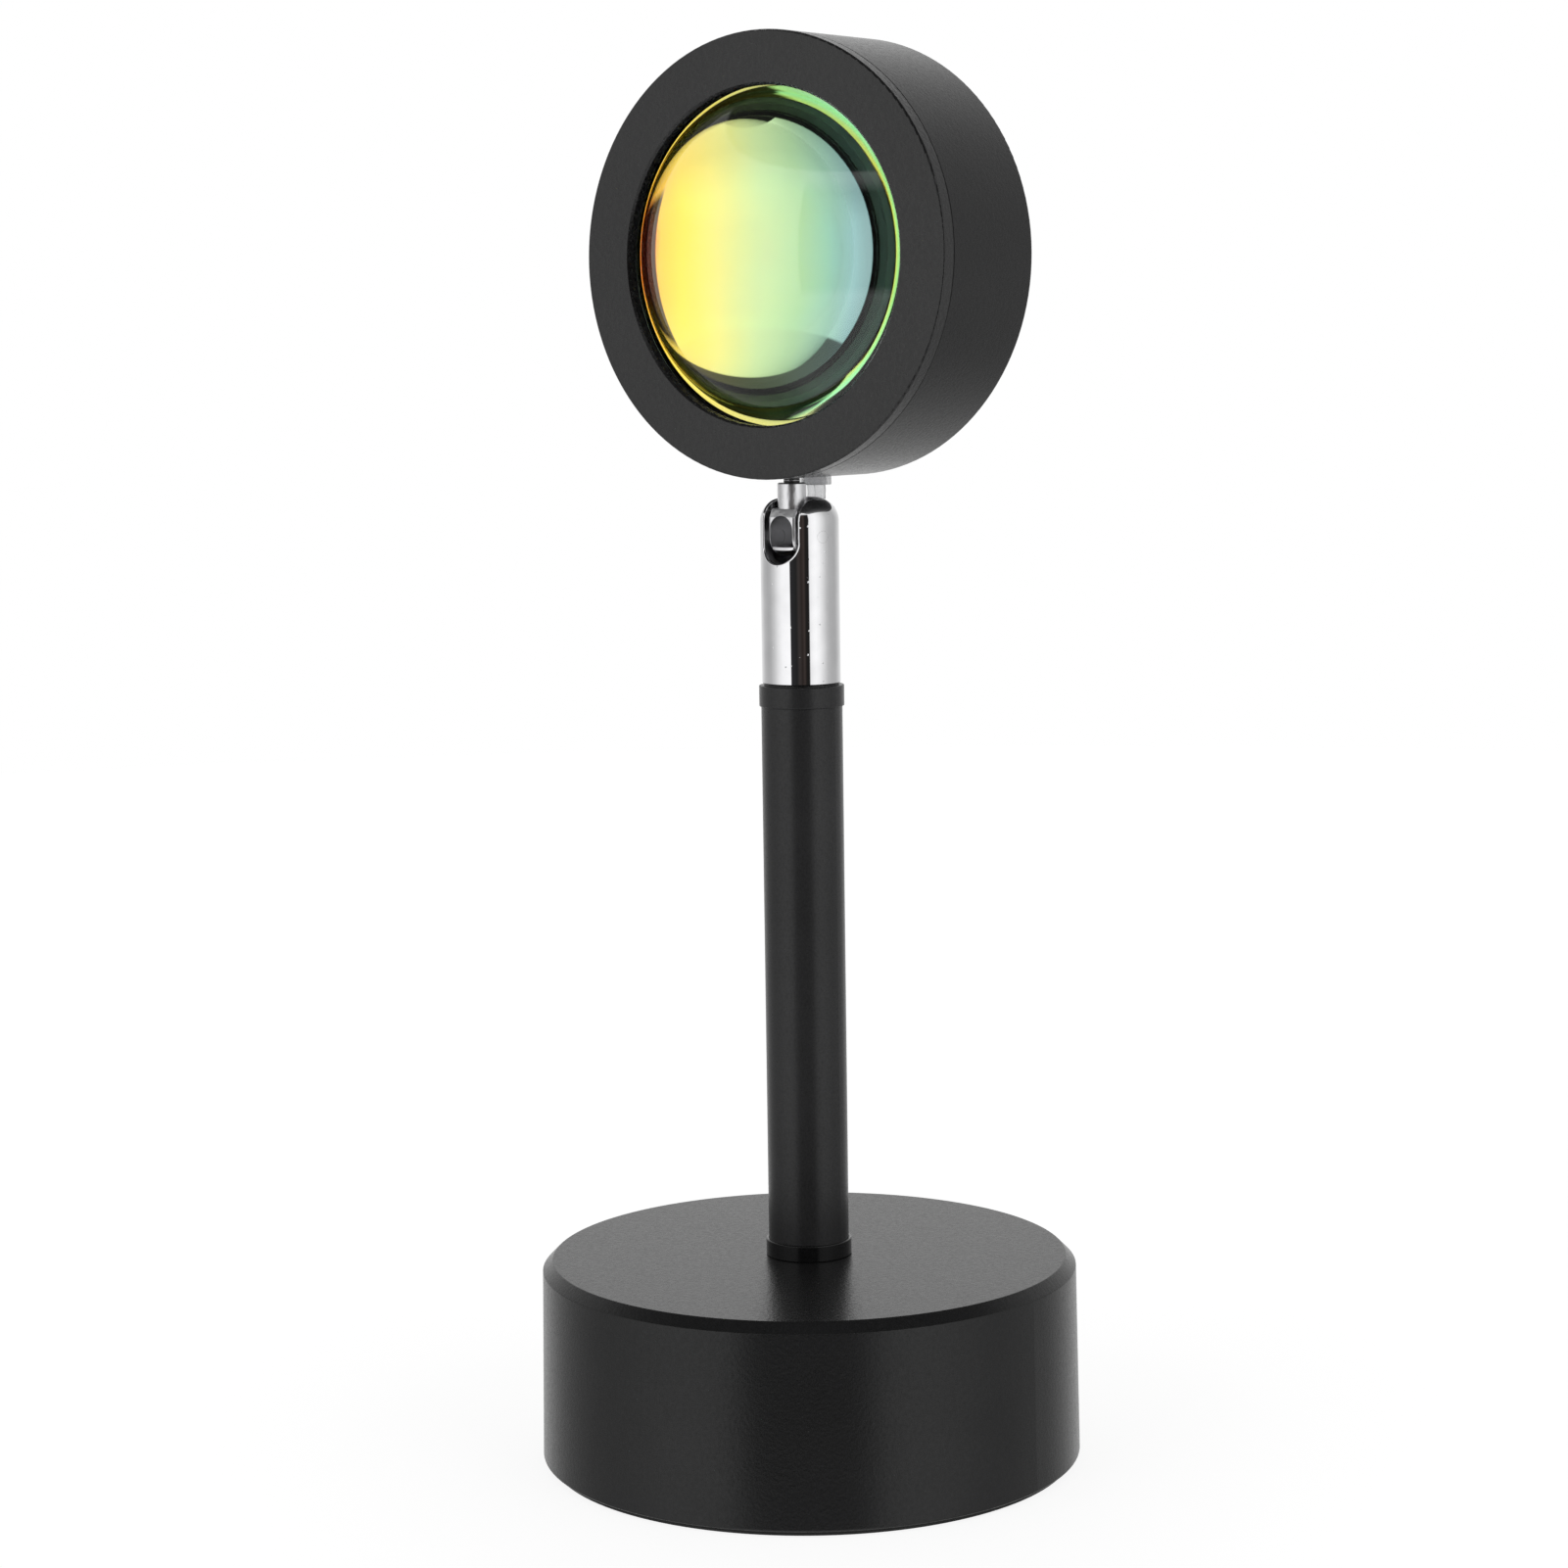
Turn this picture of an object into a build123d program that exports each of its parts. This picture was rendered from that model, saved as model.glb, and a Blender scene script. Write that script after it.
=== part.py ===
from build123d import *
import os

# Projection lamp: a weighted round base, a slim post, a slotted swivel elbow and a drum-shaped
# head with a domed lens. Millimetres, +Z up, origin on the table under the post, lens facing -Y.

# Base drum
BASE_R = 50.0            # radius under the top chamfer
BASE_DRAFT = 0.6         # the foot is this much wider than the top
BASE_H = 38.3            # table to top face
BASE_CHAMFER = 1.9
BASE_SOFT = 0.3          # rounding of the chamfer's two edges
BASE_WALL = 2.0
BASE_EDGE = 0.4          # rounding at the foot
PAD_T = 1.0
PAD_INSET = 1.4
PLATE_T = 1.5
PLATE_SCREWS = 3
PLATE_SCREW_R = 1.2
PLATE_SCREW_HEAD_R = 2.6
PLATE_SCREW_L = 9.0
PLATE_SCREW_ROOM = 1.0   # hole beyond the screw's tip
BOSS_R = 3.5
BOSS_INSET = 3.0         # wall to boss
BALLAST_H = 10.0
BALLAST_HOLE_R = 12.0
BALLAST_INSET = 3.0      # boss to ballast
BALLAST_EDGE = 1.0

# Supply cord's grommet, at the back of the base
CORD_BORE_R = 2.1
GROMMET_NECK_R = 3.4
GROMMET_FLANGE_R = 5.0
GROMMET_FLANGE_T = 1.0
GROMMET_SINK = 0.3       # the flange lies this far inside the drum's outer face
GROMMET_LIP_T = 1.4

# Post and its threaded fixings
POST_R = 7.5
POST_WALL = 1.0
POST_L = 104.8
LOWER_COLLAR_R = 8.0
LOWER_COLLAR_H = 3.1
UPPER_COLLAR_R = 7.85
UPPER_COLLAR_H = 3.9
COLLAR_WEB = 1.2
COLLAR_EDGE = 0.2
NIPPLE_R = 5.0
NIPPLE_BORE_R = 2.6
INSERT_L = 12.0
BASE_NUT_FLATS = 14.0
BASE_NUT_T = 5.0
BASE_WASHER_R = 9.0
BASE_WASHER_T = 1.5
NIPPLE_TAIL = 1.5        # nipple standing out below the nut

# Elbow
ELBOW_R = 7.25
ELBOW_L = 34.2
ELBOW_DOME = 4.4         # rounding of the top edge
ELBOW_FOOT_EDGE = 0.25
SOCKET_L = 25.6          # bore from the bottom up
SWIVEL_GRIP = 10.2       # nipple inside the socket
SWIVEL_WASHER_R = 6.9
SWIVEL_WASHER_T = 0.3
SLOT_W = 7.7
SLOT_DEPTH = 12.0        # top of the elbow to the slot's round floor
SLOT_EDGE = 0.3          # rounding of the slot's rim
PIVOT_DROP = 7.1         # top of the elbow to the pivot
PIVOT_FORWARD = 2.2      # pivot in front of the post's axis
PIN_R = 1.1
PIVOT_WASHER_R = 1.9

# Knuckle
TONGUE_W = 6.1
EYE_R = 3.5
TONGUE_EDGE = 0.8
SHOULDER_RISE = 5.1      # pivot to the foot of the neck
SHOULDER_SLOPE = 1.5     # height of the sloped shoulders below it
NECK_R = 2.65
NECK_L = 4.7
NECK_ROOT = 0.5          # neck let into the tongue
WINDOW_W = 5.0
WINDOW_DROP = 2.0        # pivot to the window's flat sill
WINDOW_RISE = 3.9        # pivot to the crown of the window's arch

# Head
HEAD_R = 40.0
HEAD_DEPTH = 28.1
HEAD_FORWARD = 10.9      # front face in front of the post's axis
HEAD_GAP = 0.8           # neck to head
HEAD_WALL = 2.0
HEAD_EDGE = 0.5
BEZEL_T = 2.8
BEZEL_W = 9.7            # outer edge to the lens opening
BEZEL_LIP = 1.9          # thickness of the lip in front of the lens
BEZEL_EDGE = 0.35
SPIGOT_L = 2.5
SPIGOT_T = 2.45
SEAM = 0.3               # bevel that makes the line between bezel and shell
OPENING_EDGE = 0.4
HEAD_SCREW_R = 1.5
HEAD_SCREW_HEAD_R = 2.8
HEAD_SCREW_HEAD_T = 1.6
HEAD_SCREW_TIP = 0.5     # metal left under the screw's hole
HEAD_WASHER_R = 2.95
HEAD_WASHER_T = 0.5
SCREW_SEAT_RISE = 0.9    # flat seat above the inside of the wall
SCREW_SEAT_W = 6.2

# Lens stack, from the front
SEAL_T = 0.35
LENS_LAP = 1.6           # lens rim behind the bezel's lip
LENS_PLAY = 1.1          # room round the lens rim in the bezel
LENS_RIM_T = 4.0
DOME_GAP = 1.5           # foot of the dome to the opening
DOME_H = 13.0
FILTER_INSET = 0.9       # lens rim to the edge of the coated disc
FILTER_T = 1.0
HOLDER_LAP = 2.55        # holder's wall outside the lens rim
HOLDER_WALL = 4.5

# Light source
HEAT_BOSS_R = 16.0
HEAT_BOSS_T = 3.0
THERMAL_PAD_T = 0.3
BOARD_R = 14.0
BOARD_T = 1.6
BOARD_SCREW_R = 1.0
BOARD_SCREW_HEAD_R = 1.9
BOARD_SCREW_HEAD_T = 1.3
BOARD_SCREW_L = 5.0
BOARD_SCREW_RING_R = 10.5
EMITTER_W = 5.0
EMITTER_T = 0.9
EMITTER_DOME_R = 2.1

# Flat twin lead and its bush
LEAD_W = 3.8
LEAD_T = 1.75
LEAD_BACK = 5.3          # lead behind the post's axis where it leaves the elbow
LEAD_IN_BACK = 2.9       # and where it enters the slanted passage
LEAD_IN_DROP = 12.0      # top of the elbow to that entry
LEAD_RISE = 4.0          # straight start above the swivel
LEAD_STUB = 1.0          # passage's end below the elbow's top
LEAD_INLET = 3.5         # free room behind the grommet
LEAD_BEND_BASE = 12.0
LEAD_BENDS_ELBOW = (10.0, 40.0)
LEAD_BEND_BRIDGE = 4.0
LEAD_BEND_HEAD = 4.4
LEAD_BEND_ROOM = 0.95    # share of the short run that the bend in the head may take
BUSH_FLANGE_R = 2.85
BUSH_FLANGE_T = 1.4
BUSH_NECK_R = 2.45
BUSH_BARB_T = 0.9

# Clearances
FIT = 0.05               # running and sliding fits
SNUG = 0.02              # threads and pressed pieces
STOP_GAP = 0.2           # tongue to the back of the slot, which stops it upright
REST = 0.3               # a loose piece above what it lies on
PASSAGE_GAP = 0.15       # lead to its passage
CUT_OVER = 1.0           # how far a cut runs past the face it opens

# Levels and places that follow from the sizes above
BASE_FOOT_R = BASE_R + BASE_DRAFT
PLATE_TOP = PAD_T + PLATE_T
BASE_CEILING = BASE_H - BASE_WALL
BOSS_RING_R = BASE_R - BASE_WALL - BOSS_INSET - BOSS_R
BALLAST_R = BOSS_RING_R - BOSS_R - BALLAST_INSET
BALLAST_TOP = PLATE_TOP + BALLAST_H
CORD_Z = BALLAST_TOP + REST + LEAD_T / 2
POST_BOTTOM = BASE_H + COLLAR_WEB
POST_TOP = POST_BOTTOM + POST_L
COLLAR_TOP = POST_TOP + COLLAR_WEB
ELBOW_BOTTOM = COLLAR_TOP + SWIVEL_WASHER_T
ELBOW_TOP = ELBOW_BOTTOM + ELBOW_L
SWIVEL_TOP = ELBOW_BOTTOM + SWIVEL_GRIP
NUT_TOP = BASE_CEILING - BASE_WASHER_T
NUT_BOTTOM = NUT_TOP - BASE_NUT_T
SLOT_FLOOR = ELBOW_TOP - SLOT_DEPTH
SLOT_BACK = EYE_R - PIVOT_FORWARD + STOP_GAP
PIVOT_Y = -PIVOT_FORWARD
PIVOT_Z = ELBOW_TOP - PIVOT_DROP
SHOULDER_Z = PIVOT_Z + SHOULDER_RISE
NECK_TOP = SHOULDER_Z + NECK_L
HEAD_BOTTOM = NECK_TOP + HEAD_GAP
HEAD_Z = HEAD_BOTTOM + HEAD_R
HEAD_INNER_R = HEAD_R - HEAD_WALL
SEAT_Z = HEAD_BOTTOM + HEAD_WALL + SCREW_SEAT_RISE
OPENING_R = HEAD_R - BEZEL_W
LENS_RIM_R = OPENING_R + LENS_LAP
DOME_R = OPENING_R - DOME_GAP
LENS_FRONT = BEZEL_LIP + SEAL_T
LENS_BACK = LENS_FRONT + LENS_RIM_T
FILTER_R = LENS_RIM_R - FILTER_INSET
FILTER_BACK = LENS_BACK + FILTER_T
BACK_WALL = HEAD_DEPTH - HEAD_WALL
BOARD_SEAT = BACK_WALL - HEAT_BOSS_T
BOARD_BACK = BOARD_SEAT - THERMAL_PAD_T
BOARD_FRONT = BOARD_BACK - BOARD_T
HOLDER_R = LENS_RIM_R + HOLDER_LAP
HOLDER_BORE_R = HOLDER_R - HOLDER_WALL
BUSH_BOTTOM = HEAD_BOTTOM - BUSH_FLANGE_T
LEAD_IN_Z = ELBOW_TOP - LEAD_IN_DROP
LEAD_SLOPE = (LEAD_BACK - LEAD_IN_BACK) / LEAD_IN_DROP
LEAD_STUB_Z = ELBOW_TOP - LEAD_STUB
LEAD_STUB_Y = LEAD_BACK - LEAD_STUB * LEAD_SLOPE

STANDING = (Align.CENTER, Align.CENTER, Align.MIN)
HEAD_FRAME = Pos(0, -HEAD_FORWARD, HEAD_Z) * Rot(-90, 0, 0)
FAR = 4 * HEAD_R         # longer than any cut needs


def rod(radius, low, high, x=0.0, y=0.0):
    """A vertical cylinder between two heights."""
    return Pos(x, y, low) * Cylinder(radius, high - low, align=STANDING)


def tube(outer, inner, low, high, x=0.0, y=0.0):
    """A vertical tube between two heights."""
    return rod(outer, low, high, x, y) - rod(inner, low, high, x, y)


def rod_along_y(radius, start, end, z, x=0.0):
    """A cylinder along Y between two depths."""
    return Pos(x, start, z) * Rot(-90, 0, 0) * Cylinder(radius, end - start, align=STANDING)


def rod_along_x(radius, start, end, y, z):
    """A cylinder along X between two places."""
    return Pos(start, y, z) * Rot(0, 90, 0) * Cylinder(radius, end - start, align=STANDING)


def turned(*points):
    """A solid of revolution about Z from its (radius, height) outline."""
    return revolve(Plane.XZ * make_face(Polyline(*points, close=True)), Axis.Z)


def slot_along_y(width, start, end, floor, top):
    """A slot milled along Y, with a full-round floor."""
    radius = width / 2
    shoulder = floor + radius
    walls = Box(width, end - start, top - shoulder, align=STANDING)
    return Pos(0, (start + end) / 2, shoulder) * walls + rod_along_y(radius, start, end, shoulder)


def lead_along(path, normal):
    """The flat twin lead swept along a path in the plane X = 0, its width along X."""
    start = Plane(origin=path @ 0, x_dir=(1, 0, 0), z_dir=normal)
    return sweep(start * SlotOverall(LEAD_W, LEAD_T), path)


def around(count, ring_radius):
    """Evenly spaced places on a ring, the first one towards -Y."""
    return [Rot(0, 0, 360 / count * k) * Pos(0, -ring_radius, 0) for k in range(count)]


# Base


def drum(inset):
    """The base drum's outside, or its inside when inset by the wall."""
    top_r = BASE_R - inset
    foot_r = BASE_FOOT_R - inset
    top = BASE_H - inset
    return turned((0, PAD_T), (foot_r, PAD_T), (top_r, top - BASE_CHAMFER),
                  (top_r - BASE_CHAMFER, top), (0, top))


def make_base_shell():
    rims = drum(0).edges().filter_by(GeomType.CIRCLE).group_by(Axis.Z)
    outside = fillet(rims[0], BASE_EDGE)
    rims = outside.edges().filter_by(GeomType.CIRCLE).group_by(Axis.Z)
    outside = fillet(rims[-1] + rims[-2], BASE_SOFT)
    shell = outside - drum(BASE_WALL)
    for place in around(PLATE_SCREWS, BOSS_RING_R):
        shell += place * rod(BOSS_R, PLATE_TOP, BASE_CEILING)
        shell -= place * rod(PLATE_SCREW_R + FIT, PLATE_TOP, PAD_T + PLATE_SCREW_L + PLATE_SCREW_ROOM)
    shell -= rod(NIPPLE_R + FIT, BASE_CEILING, BASE_H)
    face = BASE_R - GROMMET_SINK
    shell -= rod_along_y(GROMMET_FLANGE_R + FIT, face - GROMMET_FLANGE_T, FAR, CORD_Z)
    shell -= rod_along_y(GROMMET_NECK_R + FIT, BOSS_RING_R, FAR, CORD_Z)
    return shell


def make_cable_grommet():
    face = BASE_R - GROMMET_SINK
    inner_end = BASE_R - BASE_WALL - GROMMET_LIP_T
    flange = rod_along_y(GROMMET_FLANGE_R, face - GROMMET_FLANGE_T, face, CORD_Z)
    neck = rod_along_y(GROMMET_NECK_R, inner_end, face, CORD_Z)
    lip = rod_along_y(GROMMET_FLANGE_R, inner_end, BASE_R, CORD_Z) & drum(BASE_WALL + FIT)
    return flange + neck + lip - rod_along_y(CORD_BORE_R, 0, FAR, CORD_Z)


def countersunk_screw(radius, head_radius, length, low):
    """A countersunk screw pointing up, its head flush with the given height."""
    cone = head_radius - radius
    tip = low + length
    return turned((0, low), (head_radius, low), (radius, low + cone), (radius, tip), (0, tip))


def make_plate_screws():
    screw = countersunk_screw(PLATE_SCREW_R, PLATE_SCREW_HEAD_R, PLATE_SCREW_L, PAD_T)
    return [place * screw for place in around(PLATE_SCREWS, BOSS_RING_R)]


def make_base_plate():
    plate = rod(BASE_R - BASE_WALL - 2 * FIT, PAD_T, PLATE_TOP)
    sink = countersunk_screw(PLATE_SCREW_R + FIT, PLATE_SCREW_HEAD_R + FIT, PLATE_SCREW_L, PAD_T)
    for place in around(PLATE_SCREWS, BOSS_RING_R):
        plate -= place * sink
    return plate


def make_ballast():
    ring = tube(BALLAST_R, BALLAST_HOLE_R, PLATE_TOP, BALLAST_TOP)
    return chamfer(ring.edges().group_by(Axis.Z)[-1], BALLAST_EDGE)


def make_foot_pad():
    return rod(BASE_FOOT_R - PAD_INSET, 0, PAD_T)


# Post


def nipple(low, high):
    """Hollow threaded pipe."""
    return tube(NIPPLE_R, NIPPLE_BORE_R, low, high)


def insert(low):
    """Threaded plug pressed into one end of the post."""
    return tube(POST_R - POST_WALL - SNUG, NIPPLE_R + SNUG, low, low + INSERT_L)


def make_base_nut():
    hexagon = RegularPolygon(BASE_NUT_FLATS / 2, 6, major_radius=False)
    blank = extrude(Pos(0, 0, NUT_BOTTOM) * hexagon, BASE_NUT_T)
    return blank - rod(NIPPLE_R + SNUG, NUT_BOTTOM, NUT_TOP)


def collar(radius, low, high, web_low):
    """Thin cup ring with a web that the nipple passes and a recess for the post's end."""
    cup = rod(radius, low, high)
    cup = fillet(cup.edges(), COLLAR_EDGE)
    web_high = web_low + COLLAR_WEB
    recess = (low, web_low) if web_low > low else (web_high, high)
    return cup - rod(POST_R + FIT, *recess) - rod(NIPPLE_R + FIT, web_low, web_high)


# Elbow


def lead_passage():
    """Slanted flat hole for the lead, from the socket up to the back of the dome."""
    line = Plane(origin=(0, LEAD_IN_BACK, LEAD_IN_Z), x_dir=(1, 0, 0), z_dir=(0, LEAD_SLOPE, 1))
    hole = SlotOverall(LEAD_W + 2 * PASSAGE_GAP, LEAD_T + 2 * PASSAGE_GAP)
    return extrude(line * hole, LEAD_IN_DROP + ELBOW_DOME)


def slot_rim(bullet):
    """The slot's edges on the outside of the bullet, in front of the slot's back wall."""
    edges = [edge for edge in bullet.edges() if edge not in bullet.edges().filter_by(Axis.Y)]
    near = [edge for edge in edges if abs(edge.center().X) < SLOT_W / 2 + FIT]
    high = [edge for edge in near if edge.center().Z > SLOT_FLOOR - FIT]
    return [edge for edge in high if edge.center().Y < SLOT_BACK - FIT]


def make_elbow_body():
    bullet = rod(ELBOW_R, ELBOW_BOTTOM, ELBOW_TOP)
    bullet = fillet(bullet.edges().group_by(Axis.Z)[-1], ELBOW_DOME)
    bullet = chamfer(bullet.edges().group_by(Axis.Z)[0], ELBOW_FOOT_EDGE)
    bullet -= slot_along_y(SLOT_W, -FAR, SLOT_BACK, SLOT_FLOOR, ELBOW_TOP + CUT_OVER)
    bullet = fillet(slot_rim(bullet), SLOT_EDGE)
    bullet -= rod(NIPPLE_R + FIT, ELBOW_BOTTOM, ELBOW_BOTTOM + SOCKET_L)
    bullet -= lead_passage()
    return bullet - rod_along_x(PIN_R + SNUG, -FAR, FAR, PIVOT_Y, PIVOT_Z)


def make_pivot_pins():
    """Two short pins, flush with the elbow's outside and clear of the knuckle's window."""
    start = WINDOW_W / 2 + FIT
    skin = rod(ELBOW_R, ELBOW_BOTTOM, ELBOW_TOP)
    right = rod_along_x(PIN_R, start, FAR, PIVOT_Y, PIVOT_Z) & skin
    left = rod_along_x(PIN_R, -FAR, -start, PIVOT_Y, PIVOT_Z) & skin
    return [right, left]


def make_pivot_washers():
    inner = TONGUE_W / 2 + FIT
    outer = SLOT_W / 2 - FIT
    hole = rod_along_x(PIN_R + SNUG, -FAR, FAR, PIVOT_Y, PIVOT_Z)
    right = rod_along_x(PIVOT_WASHER_R, inner, outer, PIVOT_Y, PIVOT_Z) - hole
    left = rod_along_x(PIVOT_WASHER_R, -outer, -inner, PIVOT_Y, PIVOT_Z) - hole
    return [right, left]


# Knuckle and the screw that carries the head


def make_knuckle():
    slope_foot = SHOULDER_RISE - SHOULDER_SLOPE
    eye = ThreePointArc((-EYE_R, 0), (0, -EYE_R), (EYE_R, 0))
    sides = Polyline((EYE_R, 0), (EYE_R, slope_foot), (NECK_R, SHOULDER_RISE), (-NECK_R, SHOULDER_RISE),
                     (-EYE_R, slope_foot), (-EYE_R, 0))
    outline = Plane.YZ * make_face([eye, sides])
    tongue = Pos(0, PIVOT_Y, PIVOT_Z) * extrude(outline, TONGUE_W / 2, both=True)
    cheeks = tongue.faces().sort_by(Axis.X)
    tongue = fillet(cheeks[0].edges() + cheeks[-1].edges(), TONGUE_EDGE)
    neck = rod(NECK_R, SHOULDER_Z - NECK_ROOT, NECK_TOP, y=PIVOT_Y)
    neck = chamfer(neck.edges().group_by(Axis.Z)[-1], COLLAR_EDGE)
    arch_r = WINDOW_W / 2
    sill = PIVOT_Z - WINDOW_DROP
    spring_line = PIVOT_Z + WINDOW_RISE - arch_r
    window = Pos(0, PIVOT_Y, sill) * Box(WINDOW_W, 4 * EYE_R, spring_line - sill, align=STANDING)
    window += rod_along_y(arch_r, PIVOT_Y - 2 * EYE_R, PIVOT_Y + 2 * EYE_R, spring_line)
    knuckle = tongue + neck - window
    knuckle -= rod(HEAD_SCREW_R + SNUG, SHOULDER_Z, NECK_TOP, y=PIVOT_Y)
    return knuckle - rod_along_x(PIN_R + FIT, -FAR, FAR, PIVOT_Y, PIVOT_Z)


def make_head_screw():
    head_low = SEAT_Z + HEAD_WASHER_T
    head = rod(HEAD_SCREW_HEAD_R, head_low, head_low + HEAD_SCREW_HEAD_T, y=PIVOT_Y)
    head = fillet(head.edges().group_by(Axis.Z)[-1], HEAD_SCREW_HEAD_T / 2)
    return head + rod(HEAD_SCREW_R, SHOULDER_Z + HEAD_SCREW_TIP, head_low, y=PIVOT_Y)


def make_head_washer():
    return tube(HEAD_WASHER_R, HEAD_SCREW_R + FIT, SEAT_Z, SEAT_Z + HEAD_WASHER_T, y=PIVOT_Y)


# Head: round pieces are turned about their own axis, heights being depths behind the front face


def board_screw_places():
    """One screw left and one right of the emitter."""
    return [Rot(0, 0, 90) * place for place in around(2, BOARD_SCREW_RING_R)]


def make_front_bezel():
    ring = tube(HEAD_R, OPENING_R, 0, BEZEL_T) - rod(LENS_RIM_R + LENS_PLAY, BEZEL_LIP, BEZEL_T)
    front = ring.edges().group_by(Axis.Z)[0].sort_by(SortBy.LENGTH)
    ring = fillet(front[-1], BEZEL_EDGE)
    ring = chamfer(ring.edges().group_by(Axis.Z)[0].sort_by(SortBy.LENGTH)[0], OPENING_EDGE)
    spigot_r = HEAD_INNER_R - FIT
    ring += tube(spigot_r, spigot_r - SPIGOT_T, BEZEL_T, BEZEL_T + SPIGOT_L)
    return HEAD_FRAME * ring


def make_head_shell():
    cup = rod(HEAD_R, BEZEL_T, HEAD_DEPTH)
    cup = fillet(cup.edges().group_by(Axis.Z)[-1], HEAD_EDGE)
    cup = chamfer(cup.edges().group_by(Axis.Z)[0], SEAM)
    cup -= rod(HEAD_INNER_R, BEZEL_T, BACK_WALL)
    cup += rod(HEAT_BOSS_R, BOARD_SEAT, BACK_WALL)
    hole_end = BOARD_FRONT + BOARD_SCREW_L + REST
    for place in board_screw_places():
        cup -= place * rod(BOARD_SCREW_R + SNUG, BOARD_SEAT, hole_end)
    cup = HEAD_FRAME * cup
    seat = Box(SCREW_SEAT_W, SCREW_SEAT_W, HEAD_WALL + SCREW_SEAT_RISE, align=STANDING)
    inside = HEAD_FRAME * rod(HEAD_R - HEAD_WALL / 2, BEZEL_T, HEAD_DEPTH)
    cup += Pos(0, PIVOT_Y, HEAD_BOTTOM) * seat & inside
    cup -= rod(HEAD_SCREW_R + FIT, NECK_TOP, SEAT_Z, y=PIVOT_Y)
    return cup - rod(BUSH_NECK_R + FIT, BUSH_BOTTOM, SEAT_Z, y=LEAD_BACK)


def make_lens_seal():
    return HEAD_FRAME * tube(LENS_RIM_R, OPENING_R, BEZEL_LIP, LENS_FRONT)


def make_lens():
    rim = rod(LENS_RIM_R, LENS_FRONT, LENS_BACK)
    sphere_r = (DOME_R ** 2 + DOME_H ** 2) / (2 * DOME_H)
    ball = Pos(0, 0, LENS_FRONT - DOME_H + sphere_r) * Sphere(sphere_r)
    dome = ball & rod(DOME_R, LENS_FRONT - DOME_H, LENS_FRONT)
    return HEAD_FRAME * (rim + dome)


def make_colour_filter():
    return HEAD_FRAME * rod(FILTER_R, LENS_BACK, FILTER_BACK)


def make_lens_holder():
    """Barrel whose front end takes the disc in a step and presses on the lens rim round it."""
    barrel = tube(HOLDER_R, HOLDER_BORE_R, LENS_BACK, BACK_WALL)
    barrel -= rod(FILTER_R + FIT, LENS_BACK, FILTER_BACK)
    return HEAD_FRAME * barrel - rod(BUSH_NECK_R, HEAD_BOTTOM, HEAD_Z - BOARD_R, y=LEAD_BACK)


def board_holes(plate):
    """The plate with clearance holes for the board's two screws."""
    for place in board_screw_places():
        plate -= place * rod(BOARD_SCREW_R + FIT, 0, HEAD_DEPTH)
    return plate


def make_thermal_pad():
    return HEAD_FRAME * board_holes(rod(BOARD_R, BOARD_BACK, BOARD_SEAT))


def make_led_board():
    return HEAD_FRAME * board_holes(rod(BOARD_R, BOARD_FRONT, BOARD_BACK))


def make_board_screws():
    screw = rod(BOARD_SCREW_HEAD_R, BOARD_FRONT - BOARD_SCREW_HEAD_T, BOARD_FRONT)
    screw += rod(BOARD_SCREW_R, BOARD_FRONT, BOARD_FRONT + BOARD_SCREW_L)
    return [HEAD_FRAME * place * screw for place in board_screw_places()]


def make_led_emitter():
    base = BOARD_FRONT - EMITTER_T
    body = Pos(0, 0, base) * Box(EMITTER_W, EMITTER_W, EMITTER_T, align=STANDING)
    dome = Pos(0, 0, base) * Sphere(EMITTER_DOME_R) & rod(EMITTER_W, base - EMITTER_DOME_R, base)
    return HEAD_FRAME * (body + dome)


# Lead and bush


def make_lead_bush():
    drum_outside = HEAD_FRAME * rod(HEAD_R, 0, HEAD_DEPTH)
    drum_inside = HEAD_FRAME * rod(HEAD_INNER_R, 0, HEAD_DEPTH)
    wall_top = HEAD_BOTTOM + HEAD_WALL
    top = wall_top + BUSH_BARB_T
    flange = rod(BUSH_FLANGE_R, BUSH_BOTTOM, wall_top, y=LEAD_BACK) - drum_outside
    barb = rod(BUSH_FLANGE_R, HEAD_BOTTOM, top, y=LEAD_BACK) & drum_inside
    neck = rod(BUSH_NECK_R, BUSH_BOTTOM, top, y=LEAD_BACK)
    hole = SlotOverall(LEAD_W + 2 * FIT, LEAD_T + 2 * FIT)
    bore = extrude(Pos(0, LEAD_BACK, BUSH_BOTTOM) * hole, top - BUSH_BOTTOM)
    return flange + barb + neck - bore


def make_lead_post():
    start = BASE_R - BASE_WALL - GROMMET_LIP_T - LEAD_INLET
    path = FilletPolyline((0, start, CORD_Z), (0, 0, CORD_Z), (0, 0, SWIVEL_TOP), radius=LEAD_BEND_BASE)
    return lead_along(path, (0, -1, 0))


def make_lead_elbow():
    path = FilletPolyline((0, 0, SWIVEL_TOP), (0, 0, SWIVEL_TOP + LEAD_RISE), (0, LEAD_IN_BACK, LEAD_IN_Z),
                          (0, LEAD_STUB_Y, LEAD_STUB_Z), radius=LEAD_BENDS_ELBOW)
    return lead_along(path, (0, 0, 1))


def make_lead_bridge():
    path = FilletPolyline((0, LEAD_STUB_Y, LEAD_STUB_Z), (0, LEAD_BACK, ELBOW_TOP),
                          (0, LEAD_BACK, BUSH_BOTTOM), radius=LEAD_BEND_BRIDGE)
    return lead_along(path, (0, LEAD_SLOPE, 1))


def make_lead_head():
    board_y = BOARD_FRONT - HEAD_FORWARD
    solder_z = HEAD_Z - BOARD_R + LEAD_T
    path = FilletPolyline((0, LEAD_BACK, BUSH_BOTTOM), (0, LEAD_BACK, solder_z), (0, board_y, solder_z),
                          radius=min(LEAD_BEND_HEAD, LEAD_BEND_ROOM * (board_y - LEAD_BACK)))
    return lead_along(path, (0, 0, 1))


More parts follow.
